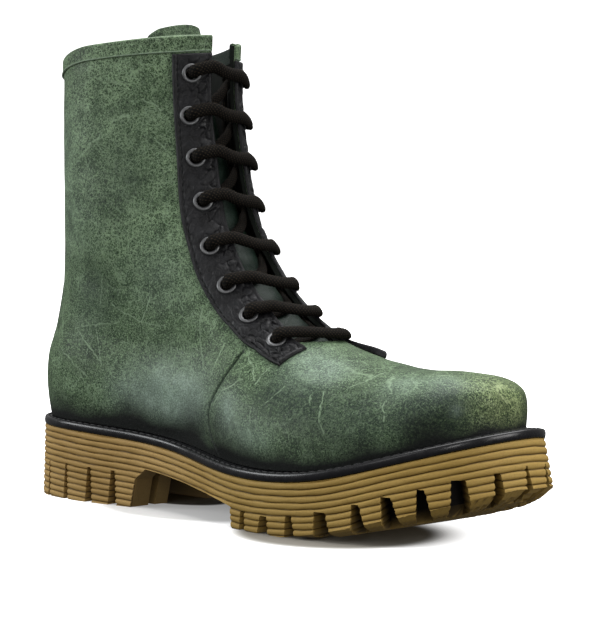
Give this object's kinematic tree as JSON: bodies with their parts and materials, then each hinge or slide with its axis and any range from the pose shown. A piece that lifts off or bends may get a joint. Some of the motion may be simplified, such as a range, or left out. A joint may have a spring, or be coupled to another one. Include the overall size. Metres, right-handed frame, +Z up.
{
  "type": "elevator boot",
  "caption": "Right ankle boot of green waxed leather, laced through metal eyelets in black facings, on a thick ridged tan rubber sole with deep side lugs, a black welt and a toe spring.",
  "frame": {"origin": "on the floor under the middle of the boot's bounding box", "axes": "+X from heel to toe, +Y to the inner side of the foot, +Z up from the floor to the collar"},
  "size_m": [0.3056, 0.1114, 0.2471],
  "materials": {
    "sole_tan": "matte moulded tan rubber with fine level ridges",
    "welt_black": "glossy black welt strip",
    "footbed_cloth": "dull dark footbed cover",
    "leather_green": "waxed, worn forest green grain leather",
    "leather_black": "black leather with a cracked scale print",
    "lace_cord": "braided dark cord",
    "eyelet_metal": "dull nickel"
  },
  "bodies": {
    "root": {"outsole": "sole_tan", "welt": "welt_black", "insole": "footbed_cloth", "upper": "leather_green", "tongue": "leather_green", "eyestay_lateral": "leather_black", "eyestay_medial": "leather_black", "collar_band": "leather_green", "backstay": "leather_black", "lace": "lace_cord", "eyelet_lateral_1": "eyelet_metal", "eyelet_lateral_2": "eyelet_metal", "eyelet_lateral_3": "eyelet_metal", "eyelet_lateral_4": "eyelet_metal", "eyelet_lateral_5": "eyelet_metal", "eyelet_lateral_6": "eyelet_metal", "eyelet_lateral_7": "eyelet_metal", "eyelet_lateral_8": "eyelet_metal", "eyelet_medial_1": "eyelet_metal", "eyelet_medial_2": "eyelet_metal", "eyelet_medial_3": "eyelet_metal", "eyelet_medial_4": "eyelet_metal", "eyelet_medial_5": "eyelet_metal", "eyelet_medial_6": "eyelet_metal", "eyelet_medial_7": "eyelet_metal", "eyelet_medial_8": "eyelet_metal"}
  },
  "joints": []
}
